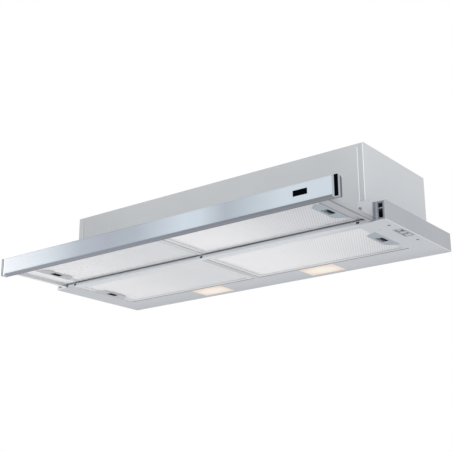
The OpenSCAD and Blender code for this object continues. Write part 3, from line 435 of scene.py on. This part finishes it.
# Rails of the drawer: painted light keeps the left rail pale in its channel; the right one shows
# its outside, with painted shade on its ledge, side and foot and painted shadow lines at its foot
# and seam
railSheet = {"colour": tint(239, 240, 242), "ledge": tint(168, 170, 176),
             "side": tint(176, 179, 185), "foot": tint(168, 170, 176),
             "line": tint(104, 107, 112), "sideStart": 421.2, "footHigh": 1.7,
             "footEdge": 418.6, "lineHigh": 2.6, "seamLeft": 403.9, "seamRight": 406.1,
             "seamHigh": 11.4, "metallic": 0.15, "roughness": 0.4, "stretch": (1, 0.05, 1)}


def buildRail(graph):
    x, z = graph.axes("xz")
    rail = railSheet
    base = satinMetal(rail["colour"], rail["metallic"], rail["roughness"], rail["stretch"])(graph)
    side = x > rail["sideStart"] * mm
    foot = (x > 0) * (z < rail["footHigh"] * mm)
    seam = (x.between(*metres(rail, "seamLeft", "seamRight"))
            * (z < rail["seamHigh"] * mm) * (1 - foot))
    sideLine = side * (z < rail["lineHigh"] * mm)
    footLine = foot * (x > rail["footEdge"] * mm)
    lines = seam.most(sideLine).most(footLine)
    # painted light on the left rail, painted shade on the right one, and painted shadow lines
    for colour, share in (("ledge", x > 0), ("side", side), ("foot", foot), ("line", lines)):
        paintOver(graph, base, rail[colour], share)
    return base


# Wire of the filter mesh: painted light makes it brightest beside the rib, painted shade darkens
# it towards the ends, with fine rows of strands; the front pair of filters lies before rowSplit
meshWire = {"bright": tint(248, 248, 250), "dark": tint(186, 189, 195), "metallic": 0.15,
            "roughness": 0.4, "rowSplit": -288, "shadeFadeStart": 150, "shadeFadeEnd": 440,
            "frontShift": 60, "frontShare": 0.34, "rearStart": -250, "rearEnd": -90,
            "rearShare": 0.2, "rearLeast": 0.13, "leftStart": -350, "leftEnd": -60,
            "leftShare": 0.22, "leftLeast": 0.05, "strands": 1120, "slant": 0.52,
            "strandStart": 50, "strandEnd": 300, "strandShare": 0.25, "strandLeast": 0.05}


def buildMesh(graph):
    x, y = graph.axes("xy")
    wire = meshWire
    front = y < wire["rowSplit"] * mm
    rear = y.step(*metres(wire, "rearStart", "rearEnd")) * wire["rearShare"] + wire["rearLeast"]
    shadeFade = (x + front * (wire["frontShift"] * mm)).step(*metres(wire, "shadeFadeStart", "shadeFadeEnd"))
    right = shadeFade * rear.most(front * wire["frontShare"])
    leftFade = x.step(*metres(wire, "leftStart", "leftEnd"))
    left = (x < 0) * (leftFade * wire["leftShare"] + wire["leftLeast"])
    rows = ((x + y * wire["slant"]) * wire["strands"]).sine() * 0.5 + 0.5
    rowFade = x.step(*metres(wire, "strandStart", "strandEnd"))
    strands = rows * (rowFade * wire["strandShare"] + wire["strandLeast"])
    base = satinMetal(wire["bright"], wire["metallic"], wire["roughness"])(graph)
    # painted light and shade over the wire, with the rows of strands
    return paintOver(graph, base, wire["dark"], right + left + strands)


# Filter frames: painted shade towards the right end, a painted shadow line under the rear edge
frameEdge = {"colour": tint(222, 224, 227), "shadedRightEnd": tint(196, 199, 205),
             "line": tint(92, 95, 102), "lineStart": -80.4, "shadeFadeStart": 200, "shadeFadeEnd": 385,
             "metallic": 0.4, "roughness": 0.35}


def buildFrame(graph):
    x, y = graph.axes("xy")
    edge = frameEdge
    base = satinMetal(edge["colour"], edge["metallic"], edge["roughness"])(graph)
    # painted shade towards the right end, then a painted shadow line at the rear edge
    paintOver(graph, base, edge["shadedRightEnd"], x.step(*metres(edge, "shadeFadeStart", "shadeFadeEnd")))
    return paintOver(graph, base, edge["line"], y > edge["lineStart"] * mm)


# Latches: a black grip on a pale slide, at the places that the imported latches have
latchLook = {"grip": tint(12, 13, 15), "slide": tint(150, 158, 168), "boltSetback": 1,
             "gripPlace": 13, "gripHalf": 6.6, "gripLong": 11.5, "gripShift": 3.5,
             "roughness": 0.4, "specular": 0.15}


def latchCentres():
    places = []
    for row, hand, side in filterSeats:
        low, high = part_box("%s_latch_%s" % (row, hand))
        outer = max(abs(low.x), abs(high.x)) + latchLook["boltSetback"] * mm
        places.append((side * (outer - latchLook["gripPlace"] * mm),
                       (low.y + high.y) / 2 + latchLook["gripShift"] * mm))
    return places


def buildLatch(graph):
    x, y = graph.axes("xy")
    halfWide, halfLong = metres(latchLook, "gripHalf", "gripLong")
    base = plastic(latchLook["slide"], latchLook["roughness"])(graph)
    base["Specular IOR Level"] = latchLook["specular"]
    grip = 0
    for placeX, placeY in latchCentres():
        grip = grip + (abs(x - placeX) < halfWide) * (abs(y - placeY) < halfLong)
    return paintOver(graph, base, latchLook["grip"], grip)


# Latch plates: blue-grey on the right, paler on the left where they face the light
plateLook = {"right": tint(148, 157, 167), "left": tint(178, 180, 186), "roughness": 0.35}


def buildLatchPlate(graph):
    base = plastic(plateLook["right"], plateLook["roughness"])(graph)
    return paintOver(graph, base, plateLook["left"], graph.axes("x") < 0)


# Bezel of the controls, with a dark line round its rim
bezelLook = {"colour": tint(172, 176, 182), "rim": tint(140, 145, 151), "x": 435, "y": -187,
             "halfWide": 9.2, "halfLong": 26.7, "roughness": 0.4}


def buildBezel(graph):
    x, y = graph.axes("xy")
    middleX, middleY, halfWide, halfLong = metres(bezelLook, "x", "y", "halfWide", "halfLong")
    base = plastic(bezelLook["colour"], bezelLook["roughness"])(graph)
    rim = (abs(x - middleX) > halfWide).most(abs(y - middleY) > halfLong)
    return paintOver(graph, base, bezelLook["rim"], rim)


# Guide blocks: painted shade, black in the depth of the slots and grey towards their ends, and a
# darker column; paler on the left with painted light
guidePlastic = {"colour": tint(132, 137, 146), "litLeftColour": tint(204, 207, 211),
                "column": tint(98, 103, 112), "columnStart": 400, "columnEnd": 428.5,
                "columnShare": 0.7, "slot": tint(14, 16, 21), "slotEnd": tint(70, 74, 81),
                "litLeftSlot": tint(150, 154, 160), "left": 433.8, "right": 443.7, "front": -284.6,
                "rear": -256, "low": 4.8, "high": 35.2, "lowCore": (8.5, 19.5),
                "highCore": (26.2, 31), "roughness": 0.5}


def buildGuide(graph):
    x, y, z = graph.axes("xyz")
    guide = guidePlastic
    inside = (abs(x).between(*metres(guide, "left", "right"))
              * y.between(*metres(guide, "front", "rear"))
              * z.between(*metres(guide, "low", "high")))
    # painted shade in the depth of each slot
    deepShade = 0
    for low, high in (guide["lowCore"], guide["highCore"]):
        deepShade = deepShade + z.between(low * mm, high * mm)
    slot = graph.blend(guide["slotEnd"], guide["slot"], deepShade)
    slot = graph.blend(slot, guide["litLeftSlot"], x < 0)
    column = abs(x).between(*metres(guide, "columnStart", "columnEnd")) * guide["columnShare"]
    base = plastic(guide["colour"], guide["roughness"])(graph)
    # painted light on the left guide
    for colour, share in ((guide["column"], column), (guide["litLeftColour"], x < 0), (slot, inside)):
        paintOver(graph, base, colour, share)
    return base


# Lamp covers: ribbed plastic lit from behind, yellow over the bulb and peach towards the ends
lampGlow = {"middle": tint(254, 248, 233), "edge": tint(246, 226, 213), "strength": 0.47,
            "halfLength": 44, "halfDepth": 30, "depthShare": 1.3, "spreadEnd": 1.5,
            "plastic": (0.42, 0.36, 0.32, 1), "plasticEdge": (0.3, 0.25, 0.22, 1),
            "roughness": 0.3, "ribs": 2200, "ribStrength": 0.3, "ribDepth": 0.3}


def buildLampCover(graph):
    x, y = graph.axes("xy")
    lamp = lampGlow
    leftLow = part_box("lamp_cover_left")[0]
    rightLow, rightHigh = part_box("lamp_cover_right")
    middle = (leftLow.x + rightHigh.x) / 2  # halfway between the two lamps
    reach = (rightLow.x + rightHigh.x) / 2 - middle
    along = (abs(x - middle) - reach) / (lamp["halfLength"] * mm)
    across = (y - (rightLow.y + rightHigh.y) / 2) / (lamp["halfDepth"] * mm)
    spread = (along * along + across * across * lamp["depthShare"]).step(0.0, lamp["spreadEnd"])
    ribs = (x * lamp["ribs"]).sine() * (y * lamp["ribs"]).sine()
    return {
        "Base Color": graph.blend(lamp["plastic"], lamp["plasticEdge"], spread),
        "Roughness": lamp["roughness"],
        "Emission Color": graph.blend(lamp["middle"], lamp["edge"], spread),
        "Emission Strength": lamp["strength"],
        "Normal": graph.bump(ribs, lamp["ribStrength"], lamp["ribDepth"]),
    }


# Frosted bulbs
bulbGlass = {"pale": (0.95, 0.93, 0.88, 1), "warm": (0.9, 0.86, 0.78, 1),
             "glow": tint(255, 240, 205), "strength": 0.5, "roughness": 0.35,
             "frostSize": 300, "frostStrength": 0.05, "frostDepth": 0.2}


def buildBulb(graph):
    frost = graph.noise(bulbGlass["frostSize"])
    return {
        "Base Color": graph.blend(bulbGlass["pale"], bulbGlass["warm"], frost),
        "Roughness": bulbGlass["roughness"],
        "Emission Color": bulbGlass["glow"],
        "Emission Strength": bulbGlass["strength"],
        "Normal": graph.bump(frost, bulbGlass["frostStrength"], bulbGlass["frostDepth"]),
    }


# Black strips and plate; a painted reflection of the pale room on the face of the left strip
blackGloss = {"colour": (0.0006, 0.0008, 0.0014, 1), "mist": (0.0014, 0.0018, 0.003, 1),
              "mistSize": 14, "mistRoughness": 0.1, "roughness": 0.2, "specular": 0.01,
              "mirror": tint(200, 204, 210), "mirrorLeft": -447.2, "mirrorRight": -444.2}


def buildBlackGloss(graph):
    gloss = blackGloss
    mist = graph.noise(gloss["mistSize"])
    black = graph.blend(gloss["colour"], gloss["mist"], mist)
    # painted reflection of the pale room on the left strip's face
    mirror = graph.axes("x").between(*metres(gloss, "mirrorLeft", "mirrorRight"))
    return {
        "Base Color": graph.blend(black, gloss["mirror"], mirror),
        "Roughness": gloss["roughness"] + gloss["mistRoughness"] * mist,
        "Specular IOR Level": gloss["specular"],
    }


# Finishes without a pattern of their own: plastics with their roughness, and metals with their
# share of metal and roughness
plainFinishes = {
    "motor_paint": ("motorEnamel", plastic(tint(70, 72, 76), 0.4, grain=0.1, size=600, coat=0.2)),
    "white_plastic": ("whiteNylon", plastic(tint(228, 229, 228), 0.4)),
    "black_plastic": ("blackPlastic", plastic(tint(22, 22, 25), 0.42)),
    "knob_grey": ("knobGrey", plastic(tint(186, 190, 197), 0.4)),
    "collar_plastic": ("collarPlastic", plastic(tint(142, 146, 153), 0.5)),
    "shaft_steel": ("groundShaft", satinMetal(tint(200, 202, 205), 0.9, 0.22, (0.1, 4, 4))),
    "screw_dark": ("darkScrew", satinMetal(tint(92, 96, 104), 0.5, 0.35)),
    "screw_grey": ("greyScrew", satinMetal(tint(138, 142, 148), 0.5, 0.35)),
    "drawer_sheet": ("drawerSheet", satinMetal(tint(205, 208, 211), 0.15, 0.4, (1, 0.05, 1))),
}
patternedFinishes = {
    "housing_paint": ("housingPaint", buildHousingPaint),
    "side_paint": ("sidePaint", buildSidePaint),
    "base_paint": ("basePaint", buildBasePaint),
    "corner_paint": ("cornerPaint", buildCornerPaint),
    "bar_paint": ("barPaint", buildBarPaint),
    "galvanised": ("zincCoat", buildZinc),
    "stainless_front": ("brushedFront", buildFrontSteel),
    "panel_grey": ("panelGrey", buildPanelGrey),
    "silver_trim": ("silverTrim", buildTrim),
    "gloss_black": ("blackGloss", buildBlackGloss),
    "rail_sheet": ("railSheet", buildRail),
    "guide_plastic": ("guidePlastic", buildGuide),
    "filter_frame": ("filterFrame", buildFrame),
    "filter_mesh": ("filterMesh", buildMesh),
    "latch_plastic": ("latchPlastic", buildLatch),
    "latch_plate": ("latchPlate", buildLatchPlate),
    "bezel_plastic": ("bezelPlastic", buildBezel),
    "lamp_cover": ("litCover", buildLampCover),
    "bulb_glass": ("frostedGlass", buildBulb),
}
finishes = {slot: newFinish(name, build)
            for slot, (name, build) in {**plainFinishes, **patternedFinishes}.items()}
print("finishes made:", len(finishes))

# Nodes that don't take the finish of their slot
ownFinish = {"base_tray": "base_paint", "corner_plate_left": "corner_paint",
             "corner_plate_right": "corner_paint", "front_crossbar": "bar_paint",
             "drawer_rail_left": "rail_sheet", "drawer_rail_right": "rail_sheet",
             "light_slider": "knob_grey", "speed_slider": "knob_grey",
             "switch_screws": "screw_dark", "housing_screws": "screw_grey",
             "duct_collar": "collar_plastic"}
for part in frame["record"]["subparts"]:
    chosen = ownFinish.get(part["node"], part["material_slot"])
    slots = nodes[part["node"]].data.materials
    slots.clear()
    slots.append(finishes[chosen])
print("CAD nodes dressed")


# Helpers for new pieces
def newBlock(size, middle):
    bm = bmesh.new()
    bmesh.ops.create_cube(bm, size=1)
    bmesh.ops.scale(bm, verts=bm.verts, vec=size)
    bmesh.ops.translate(bm, verts=bm.verts, vec=middle)
    return bm


def easeEdges(bm, edges, amount):
    bmesh.ops.bevel(bm, geom=edges, offset=amount * mm, segments=2, profile=0.5,
                    affect="EDGES", material=-1)


def newObject(bm, name):
    data = bpy.data.meshes.new(name)
    bm.to_mesh(data)
    bm.free()
    made = bpy.data.objects.new(name, data)
    bpy.context.scene.collection.objects.link(made)
    return made


def finishPiece(bm, name, body, finish):
    bmesh.ops.recalc_face_normals(bm, faces=bm.faces)
    piece = newObject(bm, name)
    piece.data.materials.append(finishes[finish])
    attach(piece, body)


# Expanded metal sheet over each filter pad: diamonds between slit and stretched strands, with
# a window at the latch, windowReach in from the end and windowRoom to each side
expandedMesh = {"cellWide": 8.4, "cellDeep": 4.8, "strand": 0.62, "thick": 0.3, "wave": 0.14,
                "lift": 0.95, "windowRoom": 18, "windowReach": 24, "spareCells": 2}


def makeMeshSheet(name, low, high, height, windowY, body):
    cell = expandedMesh
    wide, deep = (high[0] - low[0]) / mm, (high[1] - low[1]) / mm
    count = math.ceil(wide / cell["cellWide"] + deep / cell["cellDeep"]) + cell["spareCells"]
    bm = bmesh.new()
    bmesh.ops.create_grid(bm, x_segments=count, y_segments=count, size=count / 2)
    bmesh.ops.rotate(bm, verts=bm.verts, matrix=Matrix.Rotation(math.pi / 4, 3, "Z"))
    half = math.sqrt(0.5) * mm  # a turned square cell is the square root of 2 wide
    bmesh.ops.scale(bm, verts=bm.verts, vec=(cell["cellWide"] * half, cell["cellDeep"] * half, 1))
    middle = Vector(((low[0] + high[0]) / 2, (low[1] + high[1]) / 2, height))
    bmesh.ops.translate(bm, verts=bm.verts, vec=middle)
    for place, out in ((low, (-1, 0, 0)), (low, (0, -1, 0)), (high, (1, 0, 0)), (high, (0, 1, 0))):
        bmesh.ops.bisect_plane(bm, geom=bm.faces[:] + bm.edges[:] + bm.verts[:], plane_co=place,
                               plane_no=out, clear_outer=True)
    outerEnd = max(abs(low[0]), abs(high[0])) - cell["windowReach"] * mm
    window = [face for face in bm.faces if abs(face.calc_center_median().x) > outerEnd
              and abs(face.calc_center_median().y - windowY) < cell["windowRoom"] * mm]
    bmesh.ops.delete(bm, geom=window, context="FACES")
    openings = bm.faces[:]
    bmesh.ops.inset_individual(bm, faces=openings, thickness=cell["strand"] * mm)
    bmesh.ops.delete(bm, geom=openings, context="FACES")
    for vert in bm.verts:
        phase = 2 * math.pi * (vert.co.y - low[1]) / (cell["cellDeep"] * mm)
        vert.co.z += cell["wave"] * mm * math.sin(phase)
    bmesh.ops.solidify(bm, geom=bm.faces[:], thickness=cell["thick"] * mm)
    finishPiece(bm, name, body, "filter_mesh")


# Latch plate: a moulded plate in the outer end of each filter, with a window for the grip.
# rearCurve leads from the rear edge to the inner one, as steps from their corner
latchPlate = {"wide": 28, "long": 106.6, "thick": 0.7, "proud": 0.35, "ease": 0.25,
              "edgeGap": 0.2, "taperFront": 15.8, "taperRear": 11.9,
              "rearCurve": [(9, 3.2), (3, -2), (0, -9)],
              "windowInset": 6.5, "windowWide": 15, "windowLong": 32}


def makeLatchPlate(name, outer, centre, height, side, body):
    shape = latchPlate
    half = shape["long"] / 2
    edge, inner = outer - shape["edgeGap"], outer - shape["wide"]
    rear = centre + half - shape["taperRear"]
    rim = [(edge, centre - half), (edge, centre + half),
           *((inner + across, rear + along) for across, along in shape["rearCurve"]),
           (inner, centre - half + shape["taperFront"])]
    right, halfWindow = outer - shape["windowInset"], shape["windowLong"] / 2
    left = right - shape["windowWide"]
    window = [(left, centre - halfWindow), (right, centre - halfWindow),
              (right, centre + halfWindow), (left, centre + halfWindow)]
    level = (height - shape["proud"]) * mm
    bm = bmesh.new()
    edges = []
    for loop in (rim, window):
        verts = [bm.verts.new((side * x * mm, y * mm, level)) for x, y in loop]
        edges += [bm.edges.new((verts[i - 1], verts[i])) for i in range(len(verts))]
    bmesh.ops.triangle_fill(bm, edges=edges, use_beauty=True)
    raised = bmesh.ops.extrude_face_region(bm, geom=bm.faces[:])
    top = [item for item in raised["geom"] if isinstance(item, bmesh.types.BMVert)]
    bmesh.ops.translate(bm, verts=top, vec=(0, 0, shape["thick"] * mm))
    bm.normal_update()
    lowest = level + 1e-6  # room for rounding
    rounded = [e for e in bm.edges if all(vert.co.z < lowest for vert in e.verts)
               and any(abs(face.normal.z) < 0.5 for face in e.link_faces)]
    easeEdges(bm, rounded, shape["ease"])
    finishPiece(bm, name, body, "latch_plate")


for row, hand, side in filterSeats:
    meshLow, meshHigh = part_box("%s_mesh_%s" % (row, hand))
    frameLow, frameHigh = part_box("%s_frame_%s" % (row, hand))
    latchLow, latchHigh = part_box("%s_latch_%s" % (row, hand))
    frameEnd = max(abs(frameLow.x), abs(frameHigh.x)) / mm
    latchY = (latchLow.y + latchHigh.y) / 2
    body = "%s_filter_%s" % (row, hand)
    makeMeshSheet("%s_mesh_cover_%s" % (row, hand), meshLow, meshHigh,
                  frameLow.z + expandedMesh["lift"] * mm, latchY, body)
    makeLatchPlate("%s_latch_plate_%s" % (row, hand), frameEnd, latchY / mm, frameLow.z / mm,
                   side, body)
print("filters covered")


# Bare plate on the front panel
frontPlate = {"left": 355, "right": 386, "low": 16.5, "high": 28, "thick": 0.5, "ease": 0.2}


def makeFrontPlate():
    shape = frontPlate
    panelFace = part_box("front_panel")[0].y
    bm = newBlock(((shape["right"] - shape["left"]) * mm, shape["thick"] * mm,
                   (shape["high"] - shape["low"]) * mm),
                  ((shape["right"] + shape["left"]) / 2 * mm, panelFace,
                   (shape["high"] + shape["low"]) / 2 * mm))
    easeEdges(bm, bm.edges[:], shape["ease"])
    finishPiece(bm, "front_plate", "drawer", "gloss_black")


makeFrontPlate()
print("plate made")


# Folded lip along the drawer's rear bar, which closes the gap behind the front filters
rearLip = {"front": -289.4, "rear": -277.0, "low": 11.0, "high": 11.9, "inner": 6.4,
           "outer": 384.4, "ease": 0.3, "easeReach": 1}


def makeRearLip(hand, side):
    shape = rearLip
    bm = newBlock(((shape["outer"] - shape["inner"]) * mm, (shape["rear"] - shape["front"]) * mm,
                   (shape["high"] - shape["low"]) * mm),
                  (side * (shape["outer"] + shape["inner"]) / 2 * mm,
                   (shape["rear"] + shape["front"]) / 2 * mm,
                   (shape["high"] + shape["low"]) / 2 * mm))
    reach = (shape["front"] + shape["easeReach"]) * mm
    easeEdges(bm, [e for e in bm.edges if all(vert.co.y < reach for vert in e.verts)],
              shape["ease"])
    finishPiece(bm, "rear_lip_" + hand, "drawer", "drawer_sheet")


for hand, side in hands:
    makeRearLip(hand, side)
print("rear lips made")


# Floor far below, so that it never hides the hood, and even studio light; all in metres
studio = {"floorDrop": 3.4, "floorSize": 60, "floorColour": tint(244, 244, 243),
          "floorShade": 0.97, "floorGrain": 3, "floorRoughness": 0.9, "floorSpecular": 0.1,
          "white": (1, 1, 1, 1), "ambient": 0.8, "lampAim": (0, -0.2, 0.05),
          "lamps": [("keySoft", (2.6, -3.4, 2.6), 3.0, 70),
                    ("fillLeft", (-3.4, -2.4, 0.6), 2.6, 26),
                    ("underSoft", (0.6, -2.2, -2.9), 3.2, 60)]}


def buildFloor(graph):
    colour = studio["floorColour"]
    grain = graph.noise(studio["floorGrain"], 3)
    return {"Base Color": graph.blend(colour, shade(colour, studio["floorShade"]), grain),
            "Roughness": studio["floorRoughness"], "Specular IOR Level": studio["floorSpecular"]}


def makeFloor():
    bm = bmesh.new()
    bmesh.ops.create_grid(bm, x_segments=2, y_segments=2, size=studio["floorSize"])
    bmesh.ops.translate(bm, verts=bm.verts, vec=(0, 0, -studio["floorDrop"]))
    floor = newObject(bm, "studioFloor")
    floor.data.materials.append(newFinish("paleFloor", buildFloor))


def makeWorld():  # white to look at and in reflections, and softer as light
    world = bpy.data.worlds.new("studioWorld")
    bpy.context.scene.world = world
    world.use_nodes = True
    graph = Graph(world.node_tree)
    rays = graph.node("ShaderNodeLightPath").link.node.outputs
    seen = Socket(graph, rays["Is Camera Ray"])
    for kind in ("Is Glossy Ray", "Is Transmission Ray"):
        seen = seen.most(Socket(graph, rays[kind]))
    dim, bright = (graph.node("ShaderNodeBackground",
                              values={"Color": studio["white"], "Strength": strength})
                   for strength in (studio["ambient"], 1.0))
    both = graph.node("ShaderNodeMixShader", values={0: seen, 1: dim, 2: bright})
    graph.node("ShaderNodeOutputWorld", values={"Surface": both})


def makeLamp(name, place, size, power):
    data = bpy.data.lights.new(name, "AREA")
    data.shape, data.size, data.energy = "SQUARE", size, power
    lamp = bpy.data.objects.new(name, data)
    lamp.location = place
    lamp.rotation_mode = "QUATERNION"
    lamp.rotation_quaternion = (Vector(studio["lampAim"]) - Vector(place)).to_track_quat("-Z", "Y")
    bpy.context.scene.collection.objects.link(lamp)


makeFloor()
makeWorld()
for lampRow in studio["lamps"]:
    makeLamp(*lampRow)
bpy.context.scene.view_settings.view_transform = "Standard"
print("studio lit")
